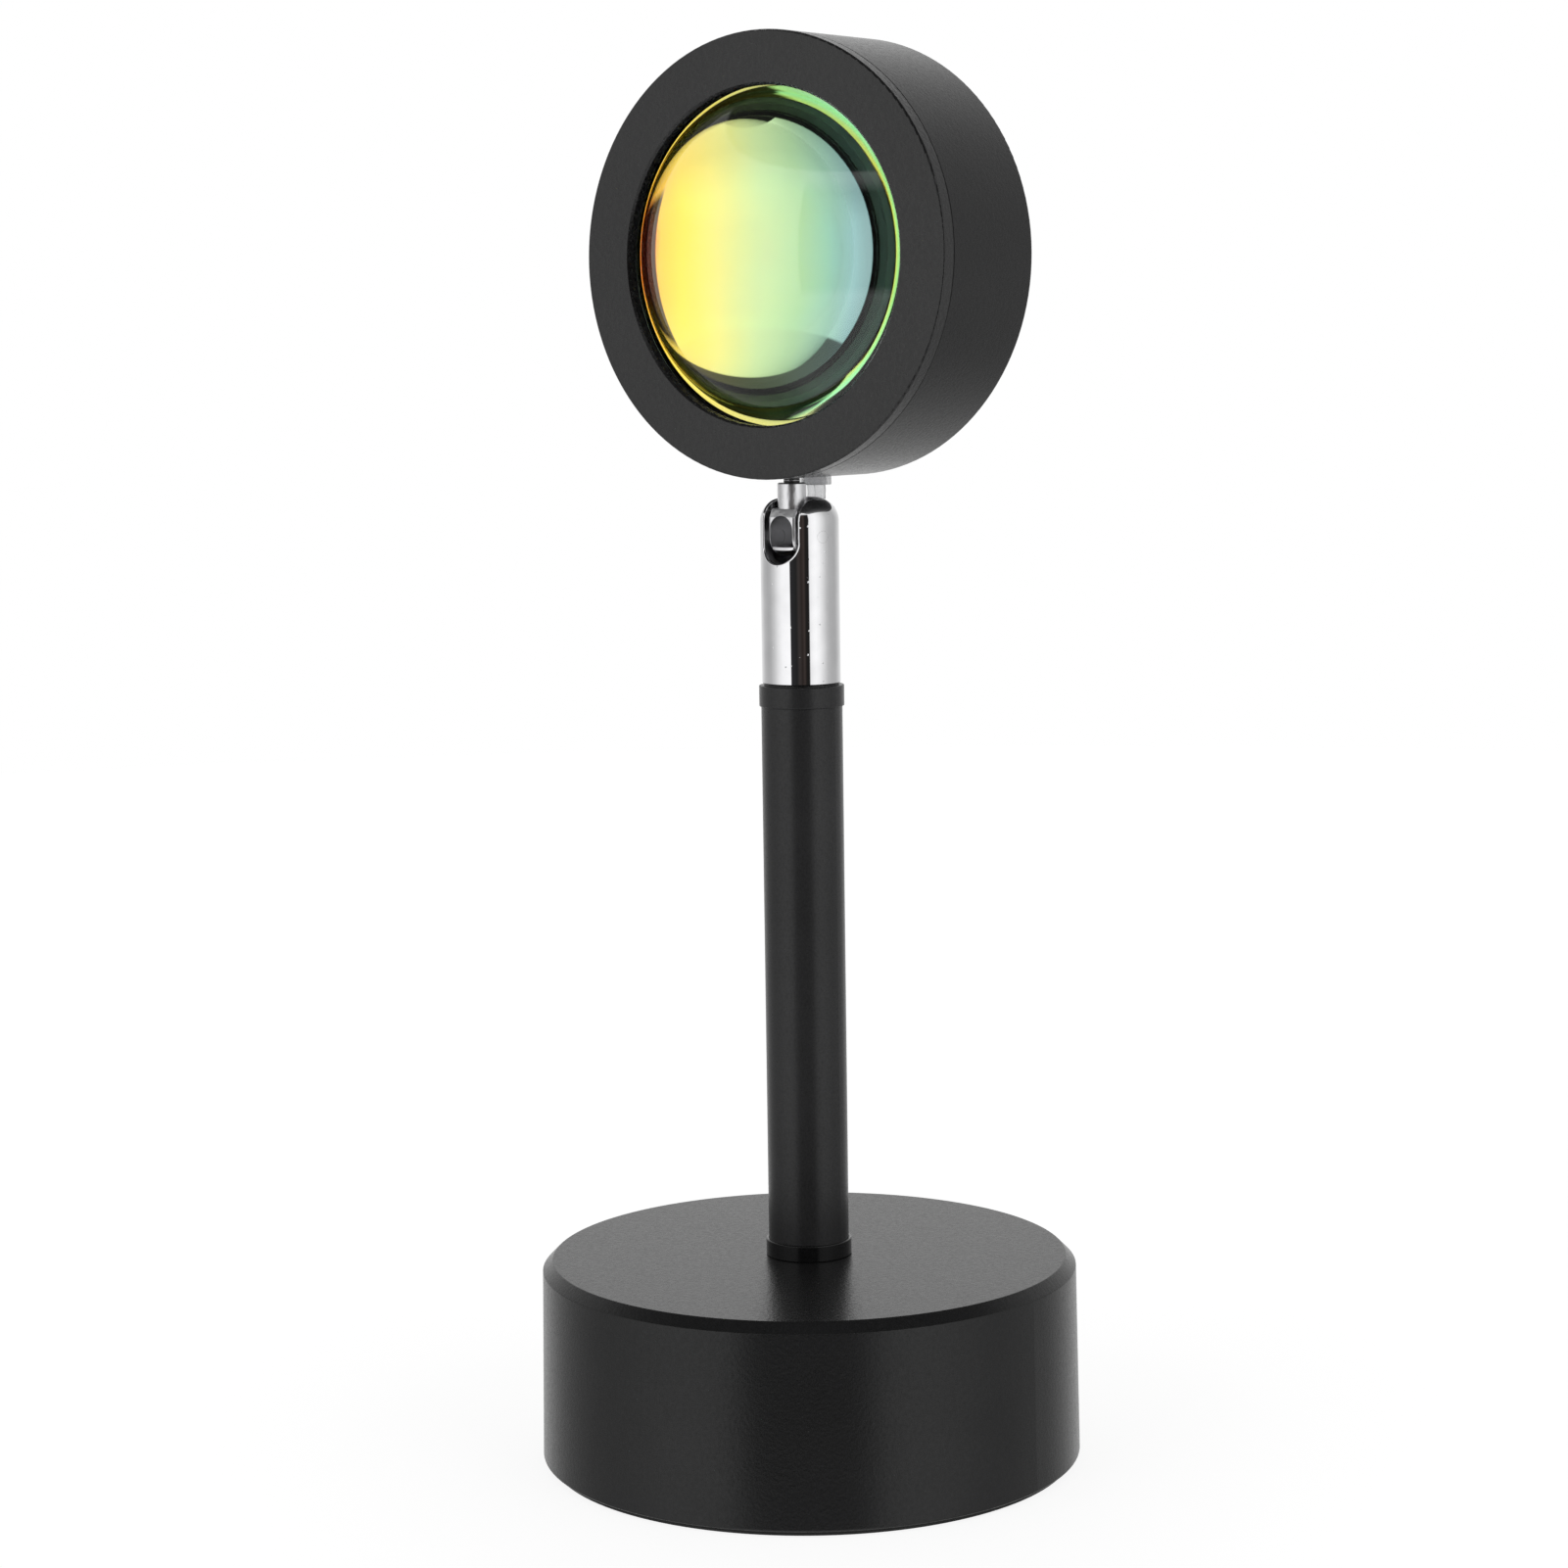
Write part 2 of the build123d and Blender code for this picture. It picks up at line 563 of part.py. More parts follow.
NODES = {
    "base_shell": make_base_shell(),
    "base_plate": make_base_plate(),
    "ballast": make_ballast(),
    "foot_pad": make_foot_pad(),
    "plate_screws": make_plate_screws(),
    "cable_grommet": make_cable_grommet(),
    "base_nipple": nipple(NUT_BOTTOM - NIPPLE_TAIL, POST_BOTTOM + INSERT_L),
    "base_washer": tube(BASE_WASHER_R, NIPPLE_R + FIT, NUT_TOP, BASE_CEILING),
    "base_nut": make_base_nut(),
    "lower_collar": collar(LOWER_COLLAR_R, BASE_H, BASE_H + LOWER_COLLAR_H, BASE_H),
    "post_tube": tube(POST_R, POST_R - POST_WALL, POST_BOTTOM, POST_TOP),
    "lower_insert": insert(POST_BOTTOM),
    "upper_insert": insert(POST_TOP - INSERT_L),
    "upper_collar": collar(UPPER_COLLAR_R, COLLAR_TOP - UPPER_COLLAR_H, COLLAR_TOP, POST_TOP),
    "swivel_nipple": nipple(POST_TOP - INSERT_L, SWIVEL_TOP),
    "swivel_washer": tube(SWIVEL_WASHER_R, NIPPLE_R + FIT, COLLAR_TOP, ELBOW_BOTTOM),
    "lead_post": make_lead_post(),
    "elbow_body": make_elbow_body(),
    "pivot_pins": make_pivot_pins(),
    "pivot_washers": make_pivot_washers(),
    "lead_elbow": make_lead_elbow(),
    "lead_bridge": make_lead_bridge(),
    "knuckle": make_knuckle(),
    "head_screw": make_head_screw(),
    "head_washer": make_head_washer(),
    "head_shell": make_head_shell(),
    "front_bezel": make_front_bezel(),
    "lens_seal": make_lens_seal(),
    "lens": make_lens(),
    "colour_filter": make_colour_filter(),
    "lens_holder": make_lens_holder(),
    "thermal_pad": make_thermal_pad(),
    "led_board": make_led_board(),
    "board_screws": make_board_screws(),
    "led_emitter": make_led_emitter(),
    "lead_bush": make_lead_bush(),
    "lead_head": make_lead_head(),
}

os.makedirs("parts", exist_ok=True)
for name, shape in NODES.items():
    solids = shape if isinstance(shape, list) else [shape]
    export_step(Compound(children=solids) if len(solids) > 1 else solids[0], f"parts/{name}.step")
print(f"{len(NODES)} nodes, overall height {HEAD_Z + HEAD_R:.1f} mm, head axis at {HEAD_Z:.1f} mm, "
      f"pivot at y {PIVOT_Y:.1f} mm, z {PIVOT_Z:.1f} mm, cord at z {CORD_Z:.2f} mm")
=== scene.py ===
# %% [markdown]
# # A projection lamp, dressed in Blender
# The lamp has a heavy round drum for a base, a slim post, a chromed elbow that swivels, and a drum-shaped
# head that tilts in the elbow and holds a thick domed lens over a coloured mirror. The pieces already stand
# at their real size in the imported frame, in metres, with the lens facing -Y. This lesson adds what the eye
# sees: the camera, the light, fine surfaces worked out with numpy, and a finish for every piece.

import math

import bpy
import numpy as np
from mathutils import Matrix, Vector


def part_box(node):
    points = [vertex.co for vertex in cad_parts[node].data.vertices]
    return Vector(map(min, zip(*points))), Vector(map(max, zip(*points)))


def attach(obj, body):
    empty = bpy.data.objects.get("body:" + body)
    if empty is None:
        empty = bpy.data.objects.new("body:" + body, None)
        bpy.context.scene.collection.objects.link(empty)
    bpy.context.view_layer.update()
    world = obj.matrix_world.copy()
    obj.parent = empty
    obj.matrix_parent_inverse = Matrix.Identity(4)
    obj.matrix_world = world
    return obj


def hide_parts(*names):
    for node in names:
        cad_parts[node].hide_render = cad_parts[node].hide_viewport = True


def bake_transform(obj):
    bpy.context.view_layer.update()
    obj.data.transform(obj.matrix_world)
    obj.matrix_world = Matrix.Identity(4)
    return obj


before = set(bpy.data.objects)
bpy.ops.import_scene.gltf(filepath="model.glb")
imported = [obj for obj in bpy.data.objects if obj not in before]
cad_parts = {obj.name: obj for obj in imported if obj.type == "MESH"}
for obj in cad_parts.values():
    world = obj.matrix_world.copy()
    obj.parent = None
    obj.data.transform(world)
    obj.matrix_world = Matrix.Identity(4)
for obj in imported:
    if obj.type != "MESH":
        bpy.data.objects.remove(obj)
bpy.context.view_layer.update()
MM = 0.001

# %% [markdown]
# ## The camera
# A product photograph is taken from a little above with a long lens, which keeps upright lines nearly
# parallel. The camera could be placed by eye with a track-to constraint. Here its matrix is written out from
# six plain facts instead: how far away it is, how far to the side, how high, how far round the lamp, how much
# it looks down, and how much it leans. That way it can be read back and checked.

# %% Camera
LENS_MM = 81.5
SENSOR_MM = 36.0
NEAR_CLIP = 0.01
CAMERA_DISTANCE = 0.652
CAMERA_HEIGHT = 0.2063
CAMERA_SIDESTEP = 0.0035     # to the left of the line through the post
CAMERA_AZIMUTH = math.radians(36.75)
CAMERA_PITCH = math.radians(6.93)
CAMERA_ROLL = math.radians(0.80)


def camera_matrix():
    """Right, up and back axes of the camera, leaned by the roll, and its place, as one matrix."""
    sine, cosine = math.sin(CAMERA_AZIMUTH), math.cos(CAMERA_AZIMUTH)
    right = Vector((cosine, sine, 0))
    level = Vector((-sine, cosine, 0))
    forward = level * math.cos(CAMERA_PITCH) - Vector((0, 0, math.sin(CAMERA_PITCH)))
    up = right.cross(forward)
    lean_right = right * math.cos(CAMERA_ROLL) - up * math.sin(CAMERA_ROLL)
    lean_up = up * math.cos(CAMERA_ROLL) + right * math.sin(CAMERA_ROLL)
    place = -right * CAMERA_SIDESTEP - level * CAMERA_DISTANCE + Vector((0, 0, CAMERA_HEIGHT))
    turned = Matrix((lean_right, lean_up, -forward)).transposed().to_4x4()
    return Matrix.Translation(place) @ turned


camera_data = bpy.data.cameras.new("camera")
camera_data.lens = LENS_MM
camera_data.sensor_width = SENSOR_MM
camera_data.clip_start = NEAR_CLIP
camera = bpy.data.objects.new("camera", camera_data)
bpy.context.scene.collection.objects.link(camera)
camera.matrix_world = camera_matrix()
bpy.context.scene.camera = camera
bpy.context.scene.view_settings.view_transform = "Standard"
print("camera at", [round(x, 3) for x in camera.location])

# %% [markdown]
# ## Node trees in few words
# Every finish below is a tree of shader nodes. Adding nodes one property at a time makes long listings, so
# one helper adds a node and fills its inputs: an input given as a socket is joined with a link, and any other
# value is typed into the socket. Small helpers on top of it do sums, map ranges and mix colours.

# %% Helpers for node trees


def add_node(tree, kind, inputs=None, **settings):
    """One node in a tree: settings are its properties, inputs are values or sockets to join."""
    node = tree.nodes.new("ShaderNode" + kind)
    for name, value in settings.items():
        setattr(node, name, value)
    for key, value in (inputs or {}).items():
        if isinstance(value, bpy.types.NodeSocket):
            tree.links.new(value, node.inputs[key])
        else:
            node.inputs[key].default_value = value
    return node


def calculate(tree, operation, first, second=0.0):
    """One sum on two numbers, each a value or a socket."""
    return add_node(tree, "Math", {0: first, 1: second}, operation=operation).outputs[0]


def spread(tree, value, low, high, new_low, new_high, ease="LINEAR"):
    """Maps a value from one range to another, and stops at the ends."""
    inputs = {"Value": value, "From Min": low, "From Max": high, "To Min": new_low, "To Max": new_high}
    return add_node(tree, "MapRange", inputs, interpolation_type=ease).outputs["Result"]


def grey(level):
    """A grey, as a colour socket takes it."""
    return (level, level, level, 1.0)


def mixed_colour(tree, share, first, second, blend="MIX"):
    """Two colours mixed by a share, each a value or a socket."""
    inputs = {"Factor": share, 6: first, 7: second}
    return add_node(tree, "Mix", inputs, data_type="RGBA", blend_type=blend).outputs[2]


def colours(tree, value, stops):
    """A colour ramp from (position, (r, g, b)) stops."""
    ramp = add_node(tree, "ValToRGB", {"Fac": value})
    points = ramp.color_ramp.elements
    while len(points) < len(stops):
        points.new(0.5)
    for point, (position, colour) in zip(points, stops):
        point.position = position
        point.color = (*colour, 1.0)
    return ramp.outputs["Color"]


print("node helpers ready")

# %% [markdown]
# ## Light
# The lamp stands in a light tent: bright cloth to the left and right of the camera, dimmer cloth at the
# sides, a white backdrop, a dark opening above, and a dark gap where the camera looks in. That gap draws the
# black stripe down the chrome, and the opening above cuts off the bright disc in the lens at its lower edge.
# Area lamps and cards could build the tent, but a world shader is simpler: the azimuth of each ray, counted
# from the camera, picks the brightness from a ramp. Camera rays see plain white, so the background is white
# without more light on the object.

# %% World
CLOTH = [                    # degrees from the camera (left is negative), brightness
    (-180, 1.00), (-148, 0.85), (-130, 0.64), (-113, 0.55), (-100, 0.58), (-84, 0.80), (-69, 1.12),
    (-56, 1.32), (-34, 1.38), (0, 1.25), (26, 1.15), (36, 1.32), (45, 1.36), (56, 1.26), (69, 1.00),
    (84, 0.70), (100, 0.58), (120, 0.56), (149, 0.85), (180, 1.00)]
GAP = [                      # the same degrees, and the share of the cloth's light left in the gap
    (-30.5, (1.0, 1.0, 1.0)), (-29.5, (0.026, 0.026, 0.028)), (-12, (0.018, 0.018, 0.018)),
    (-5, (0.045, 0.038, 0.036)), (4, (0.026, 0.020, 0.018)), (10, (0.052, 0.040, 0.036)),
    (15, (0.018, 0.016, 0.015)), (25, (0.014, 0.014, 0.014)), (26, (1.0, 1.0, 1.0))]
GAP_LOW = (-0.38, -0.30)     # height of the direction where the gap begins, and where it is fully open
GAP_HIGH = (0.62, 0.52)      # height where it ends, and where it is still fully open
OPENING = 0.10               # brightness of the opening above
OPENING_FROM = (0.67, 0.69)  # height of the direction where the cloth ends, and where the opening is reached
TABLE = 0.80                 # share of light from the paper below
TABLE_FROM = (-0.22, -0.45)  # height of the direction where that share sets in, and where it is reached


def round_ramp(tree, share, stops):
    """A colour ramp once round the lamp, from (degrees, colour) stops."""
    return colours(tree, share, [(0.5 + degrees / 360, colour) for degrees, colour in stops])


def tent_world():
    """World light: azimuth = atan2 of the direction turned so that the camera is at zero."""
    world = bpy.data.worlds.new("light_tent")
    world.use_nodes = True
    tree = world.node_tree
    tree.nodes.remove(tree.nodes["Background"])
    ray = add_node(tree, "TexCoord").outputs["Generated"]
    turned = add_node(tree, "VectorRotate", {"Vector": ray, "Angle": -CAMERA_AZIMUTH},
                      rotation_type="Z_AXIS").outputs[0]
    split = add_node(tree, "SeparateXYZ", {"Vector": turned})
    height = split.outputs["Z"]
    back = calculate(tree, "MULTIPLY", split.outputs["Y"], -1.0)
    azimuth = calculate(tree, "ARCTAN2", split.outputs["X"], back)
    share = spread(tree, azimuth, -math.pi, math.pi, 0.0, 1.0)
    above_sill = spread(tree, height, *GAP_LOW, 0.0, 1.0)
    below_top = spread(tree, height, *GAP_HIGH, 0.0, 1.0)
    open_part = calculate(tree, "MULTIPLY", above_sill, below_top)
    gap = mixed_colour(tree, open_part, grey(1.0), round_ramp(tree, share, GAP))
    greys = [(degrees, (level,) * 3) for degrees, level in CLOTH]
    cloth = mixed_colour(tree, 1.0, round_ramp(tree, share, greys), gap, "MULTIPLY")
    table = spread(tree, height, *TABLE_FROM, 1.0, TABLE)
    cloth = mixed_colour(tree, 1.0, cloth, table, "MULTIPLY")
    high = spread(tree, height, *OPENING_FROM, 0.0, 1.0)
    tent = mixed_colour(tree, high, cloth, grey(OPENING))
    lit = add_node(tree, "Background", {"Color": tent, "Strength": 1.0}).outputs[0]
    plain = add_node(tree, "Background", {"Color": grey(1.0), "Strength": 1.0}).outputs[0]
    seen = add_node(tree, "LightPath").outputs["Is Camera Ray"]
    mixed = add_node(tree, "MixShader", {0: seen, 1: lit, 2: plain}).outputs[0]
    tree.links.new(mixed, tree.nodes["World Output"].inputs["Surface"])
    return world


bpy.context.scene.world = tent_world()
print("tent has", len(CLOTH), "levels round the lamp and a gap of", GAP[-1][0] - GAP[0][0], "degrees")

# %% [markdown]
# ## Floor
# The lamp stands on white paper that runs into the tent without an edge. A large plain disc is enough. Light
# falls on it as on pale paper, and the camera sees it lifted to the white of the backdrop, with the soft
# shadow under the drum. Chrome and lens look through it at the tent, so no edge of paper shows in them.

# %% Floor
FLOOR_RADIUS = 1.2
FLOOR_SIDES = 96
FLOOR_PAPER = 0.80           # the paper that throws light back on the lamp
FLOOR_SHADE = 0.35           # what the camera sees of it: a part that takes the shadow
FLOOR_GLOW = 0.86            # and a part that doesn't


def floor_paper():
    """Paper that differs by ray: pale for light, near white for the camera, and clear for mirrors."""
    material = bpy.data.materials.new("pale_floor")
    material.use_nodes = True
    tree = material.node_tree
    tree.nodes.remove(tree.nodes["Principled BSDF"])
    paper = add_node(tree, "BsdfDiffuse", {"Color": grey(FLOOR_PAPER)}).outputs[0]
    shade = add_node(tree, "BsdfDiffuse", {"Color": grey(FLOOR_SHADE)}).outputs[0]
    glow = add_node(tree, "Emission", {"Color": grey(1.0), "Strength": FLOOR_GLOW}).outputs[0]
    shown = add_node(tree, "AddShader", {0: shade, 1: glow}).outputs[0]
    path = add_node(tree, "LightPath")
    mirrored = calculate(tree, "MAXIMUM", path.outputs["Is Glossy Ray"], path.outputs["Is Transmission Ray"])
    clear = add_node(tree, "BsdfTransparent", {"Color": grey(1.0)}).outputs[0]
    lit = add_node(tree, "MixShader", {0: path.outputs["Is Camera Ray"], 1: paper, 2: shown}).outputs[0]
    mixed = add_node(tree, "MixShader", {0: mirrored, 1: lit, 2: clear}).outputs[0]
    tree.links.new(mixed, tree.nodes["Material Output"].inputs["Surface"])
    return material


def pale_floor():
    """A flat disc: points on a circle, radius times (cosine, sine), joined into one face."""
    turn = np.linspace(0, 2 * math.pi, FLOOR_SIDES, endpoint=False)
    points = np.stack([FLOOR_RADIUS * np.cos(turn), FLOOR_RADIUS * np.sin(turn), 0 * turn], axis=1)
    mesh = bpy.data.meshes.new("floor")
    mesh.from_pydata(points.tolist(), [], [list(range(FLOOR_SIDES))])
    mesh.materials.append(floor_paper())
    floor = bpy.data.objects.new("floor", mesh)
    bpy.context.scene.collection.objects.link(floor)


pale_floor()
print("floor radius", FLOOR_RADIUS, "m")

# %% [markdown]
# ## Building blocks for finishes
# A finish starts as a Principled shader with its constant sockets typed in. Patterns then drive colour,
# roughness and relief. All of them read Object coordinates, which stay with the piece when the lamp turns or
# tilts, scaled to millimetres, so a grain of 0.5 really is half a millimetre on the lamp. Finishes are kept
# by name, and the pieces ask for them by that name later.

# %% Helpers for finishes
NOISE = (0.3, 0.7)           # most of a soft noise lies between these
BLUR_DRIFT = 0.05            # how far the roughness of a coat wanders
FINISHES = {}                # name: material


def new_finish(name, **values):
    """An empty finish with its shader's own sockets set; returns its tree and shader."""
    material = bpy.data.materials.new(name)
    material.use_nodes = True
    FINISHES[name] = material
    shader = material.node_tree.nodes["Principled BSDF"]
    for socket, value in values.items():
        shader.inputs[socket.replace("_", " ")].default_value = value
    return material.node_tree, shader


def millimetres(tree):
    """Object coordinates in millimetres."""
    place = add_node(tree, "TexCoord").outputs["Object"]
    return add_node(tree, "Mapping", {"Vector": place, "Scale": (1 / MM,) * 3}).outputs[0]


def grain(tree, coords, size, detail=2.0, roughness=0.5):
    """Soft noise between 0 and 1 whose blobs are about the given size across."""
    inputs = {"Vector": coords, "Scale": 1.0 / size, "Detail": detail, "Roughness": roughness}
    return add_node(tree, "TexNoise", inputs).outputs["Fac"]


def tones(tree, noise, dark, light):
    """Two colours mixed by a soft noise."""
    return colours(tree, noise, [(NOISE[0], dark), (NOISE[1], light)])


def join(tree, socket, shader, name):
    """Links a pattern to one of the shader's inputs."""
    tree.links.new(socket, shader.inputs[name])


def relief(tree, shader, height, depth):
    """Bump from a height between 0 and 1 that stands for the given depth in millimetres."""
    bump = add_node(tree, "Bump", {"Height": height, "Distance": depth * MM, "Strength": 1.0})
    join(tree, bump.outputs["Normal"], shader, "Normal")


print("finish helpers ready")

# %% [markdown]
# ## Black coats
# Drum, head and post are black, but not the same black. Drum and head have a powder coat: it flows into a
# leathery skin with bumps under a millimetre, and it reflects little. The bezel's coat lies thicker and
# shines more. The post has a smoother satin paint, and the collar at its foot a glossy one. One function with
# a grain size, a depth and a gloss makes all four, so they belong together like coats from the same shop.
# Relief alone hardly shows where the whole tent is bright, so the colour follows the skin too: a painted sheen
# makes the coat a little paler on its bumps, and a painted shade makes it darker in its hollows.

# %% Black coats
COATS = [                    # name, ink's brightness, grain's size and depth, roughness, reflection level
    ("black_powder_coat", 0.0150, 0.70, 0.036, 0.27, 0.27),
    ("black_bezel_coat", 0.0105, 0.80, 0.080, 0.28, 0.47),
    ("black_satin_paint", 0.0290, 0.45, 0.014, 0.31, 0.27),
    ("black_gloss_paint", 0.0080, 0.90, 0.004, 0.14, 0.35)]
CLOUD_SIZE = 14.0            # broad patches where the coat is thicker or thinner
SKIN_SHARE = 0.7             # of the tone: the skin's share paints sheen on its bumps and shade in its hollows; the rest follows the patches
THICK_COAT_AND_PAINTED_SHADE = (0.35, 0.72)         # tone where the coat is thick and in the skin's hollows, and the share of the ink's brightness there: painted shade in the hollows
THIN_COAT_AND_PAINTED_SHEEN = (0.65, 1.30)          # the same where the coat is thin and on the skin's bumps: painted sheen on the bumps
BLUE = 1.03                  # the black is a little blue


def black_coat(name, ink, grain_size, grain_depth, roughness, level):
    """Black coat: ink that follows clouds and a leathery skin, with a painted sheen on the skin's bumps and a
    painted shade in its hollows; the skin is also relief and roughness.
    """
    tree, shader = new_finish(name, IOR=1.5, Specular_IOR_Level=level)
    coords = millimetres(tree)
    clouds = grain(tree, coords, CLOUD_SIZE)
    skin = grain(tree, coords, grain_size, detail=3.0, roughness=0.6)
    # the skin's part of the tone paints sheen on the bumps and shade in the hollows, where the relief alone
    # hardly shows
    tone = mixed_colour(tree, SKIN_SHARE, clouds, skin)
    inks = [(place, (share * ink, share * ink, BLUE * share * ink)) for place, share in (THICK_COAT_AND_PAINTED_SHADE, THIN_COAT_AND_PAINTED_SHEEN)]
    join(tree, colours(tree, tone, inks), shader, "Base Color")
    blur = spread(tree, skin, *NOISE, roughness + BLUR_DRIFT, roughness - BLUR_DRIFT)
    join(tree, blur, shader, "Roughness")
    relief(tree, shader, skin, grain_depth)


for coat in COATS:
    black_coat(*coat)
print("coats:", ", ".join(FINISHES))

# %% [markdown]
# ## Chrome
# The elbow is polished and chromed. Polishing never removes every pit, and the plating repeats them, so tiny
# pale specks show where the chrome mirrors the dark gap. A cell pattern drops one possible pit into each
# cell, a second random value keeps only some of them, and a bump node bends the mirror there. Plating hardly
# reaches into the slot, so the metal is dull in there: the distance from the elbow's axis tells inside from
# outside. The knuckle is plated as it was cast, without polish: the same metal with a wavy skin and more
# blur. The pins are polished where they end in the elbow's side, and dull inside. The screw that holds the
# head is steel with a thread.

# %% Chrome
POLISHED = (0.03, 0.01)      # blur of the mirror, and how far it drifts
SILL_POLISH = (0.12, 0.03)
STEEL = (0.20, 0.05)
AS_CAST = (0.31, 0.06)
METAL_DARK = (0.65, 0.65, 0.66)
METAL_LIGHT = (0.71, 0.71, 0.72)
HAZE_SIZE = 4.0
BARE_METAL = (0.42, 0.42, 0.43)
BARE_BLUR = 0.38
SLOT_WALL_R = 6.4            # nearer to the axis than this is inside the elbow,
DOME_DROP = 2.5              # if it is also this far below the top
PIT_CELL = 1.3               # one possible pit in a cell of this size
PIT_SIZE = 0.16              # share of the cell
PIT_KEPT = 0.42              # share of the cells
PIT_DEPTH = 0.06
CAST_SKIN = 1.1
CAST_DEPTH = 0.08
THREAD_PITCH = 0.5
THREAD_DEPTH = 0.10
SHADED_GROOVE = (0.2, (0.16, 0.16, 0.16))   # height on the ridge, and the colour there: painted shade in the groove
CREST = (0.6, (0.68, 0.68, 0.69))
elbow_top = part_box("elbow_body")[1].z / MM


def plated(name, blur, blur_drift):
    """Metal whose colour and blur drift a little; returns its tree, shader and coordinates."""
    tree, shader = new_finish(name, Metallic=1.0)
    coords = millimetres(tree)
    haze = grain(tree, coords, HAZE_SIZE)
    join(tree, tones(tree, haze, METAL_DARK, METAL_LIGHT), shader, "Base Color")
    join(tree, spread(tree, haze, *NOISE, blur - blur_drift, blur + blur_drift), shader, "Roughness")
    return tree, shader, coords


def dull_inside(tree, shader, coords, metal, metal_blur):
    """Inside the tube's radius and below its dome, colour and blur turn to those of a duller metal."""
    split = add_node(tree, "SeparateXYZ", {"Vector": coords})
    flat = add_node(tree, "CombineXYZ", {"X": split.outputs["X"], "Y": split.outputs["Y"]}).outputs[0]
    radius = add_node(tree, "VectorMath", {0: flat}, operation="LENGTH").outputs["Value"]
    below = calculate(tree, "LESS_THAN", split.outputs["Z"], elbow_top - DOME_DROP)
    inside = calculate(tree, "MULTIPLY", calculate(tree, "LESS_THAN", radius, SLOT_WALL_R), below)
    colour = shader.inputs["Base Color"].links[0].from_socket
    blur = shader.inputs["Roughness"].links[0].from_socket
    join(tree, mixed_colour(tree, inside, colour, (*metal, 1.0)), shader, "Base Color")
    inside_blur = calculate(tree, "MULTIPLY", inside, metal_blur)
    join(tree, calculate(tree, "MAXIMUM", blur, inside_blur), shader, "Roughness")


def polished_chrome():
    """Plated metal with a few dents: a bump for the kept cells of a cell pattern."""
    tree, shader, coords = plated("chrome", *POLISHED)
    dull_inside(tree, shader, coords, BARE_METAL, BARE_BLUR)
    cells = add_node(tree, "TexVoronoi", {"Vector": coords, "Scale": 1.0 / PIT_CELL})
    dent = spread(tree, cells.outputs["Distance"], 0.0, PIT_SIZE, 1.0, 0.0, "SMOOTHSTEP")
    lot = add_node(tree, "SeparateXYZ", {"Vector": cells.outputs["Color"]}).outputs["X"]
    kept = calculate(tree, "LESS_THAN", lot, PIT_KEPT)
    relief(tree, shader, calculate(tree, "MULTIPLY", dent, kept), PIT_DEPTH)


def cast_chrome():
    """Plated metal with a wavy skin of about a millimetre."""
    tree, shader, coords = plated("cast_chrome", *AS_CAST)
    relief(tree, shader, grain(tree, coords, CAST_SKIN, detail=3.0), CAST_DEPTH)


def pin_chrome():
    """Pins polished flush with the elbow, whose inner ends are as dull as the knuckle around them."""
    tree, shader, coords = plated("pin_chrome", *POLISHED)
    dull_inside(tree, shader, coords, METAL_DARK, AS_CAST[0])


def threaded_steel():
    """Steel with a thread: a wave up the shank, one ridge to a pitch, and painted shade in the grooves."""
    tree, shader, coords = plated("threaded_steel", *STEEL)
    height = add_node(tree, "SeparateXYZ", {"Vector": coords}).outputs["Z"]
    wave = calculate(tree, "SINE", calculate(tree, "MULTIPLY", height, 2 * math.pi / THREAD_PITCH))
    ridge = spread(tree, wave, -1.0, 1.0, 0.0, 1.0)
    # the dark colour in the grooves is painted shade
    join(tree, colours(tree, ridge, [SHADED_GROOVE, CREST]), shader, "Base Color")
    relief(tree, shader, ridge, THREAD_DEPTH)


polished_chrome()
cast_chrome()
pin_chrome()
threaded_steel()
plated("sill_chrome", *SILL_POLISH)
print("chrome with a pit in", PIT_KEPT, "of its cells")

# %% [markdown]
# ## Finishes for the inside
# Screws, nuts, ballast, board and lead are hidden or show only a little, but the lamp may be opened up or
# seen from below. Each gets a real finish: two tones mixed by noise of a fitting size, and a roughness that
# follows it.

# %% Inner finishes


def two_tone(name, dark, light, size, roughness, **values):
    """Two colours mixed by noise of a size, with a roughness that wanders along with it."""
    tree, shader = new_finish(name, **values)
    noise = grain(tree, millimetres(tree), size, detail=3.0)
    join(tree, tones(tree, noise, dark, light), shader, "Base Color")
    blur = spread(tree, noise, *NOISE, roughness - BLUR_DRIFT, roughness + BLUR_DRIFT)
    join(tree, blur, shader, "Roughness")


two_tone("zinc_steel", (0.45, 0.45, 0.46), (0.58, 0.58, 0.60), 1.5, 0.35, Metallic=1.0)
two_tone("cast_iron", (0.05, 0.05, 0.05), (0.10, 0.10, 0.11), 1.0, 0.60, Metallic=0.6)
two_tone("brass", (0.62, 0.45, 0.16), (0.75, 0.58, 0.25), 1.5, 0.30, Metallic=1.0)
two_tone("black_rubber", (0.010, 0.010, 0.010), (0.020, 0.020, 0.020), 0.6, 0.75)
two_tone("black_nylon", (0.010, 0.010, 0.010), (0.016, 0.016, 0.016), 1.0, 0.45)
two_tone("thermal_compound", (0.55, 0.55, 0.55), (0.65, 0.65, 0.65), 1.0, 0.60)
two_tone("board_metal", (0.75, 0.75, 0.75), (0.85, 0.85, 0.85), 1.0, 0.40)
two_tone("emitter_phosphor", (0.85, 0.70, 0.15), (0.95, 0.80, 0.25), 0.4, 0.40)
two_tone("clear_vinyl", (0.84, 0.85, 0.86), (0.96, 0.96, 0.97), 0.9, 0.16, Transmission_Weight=0.80)
print(len(FINISHES), "finishes so far")

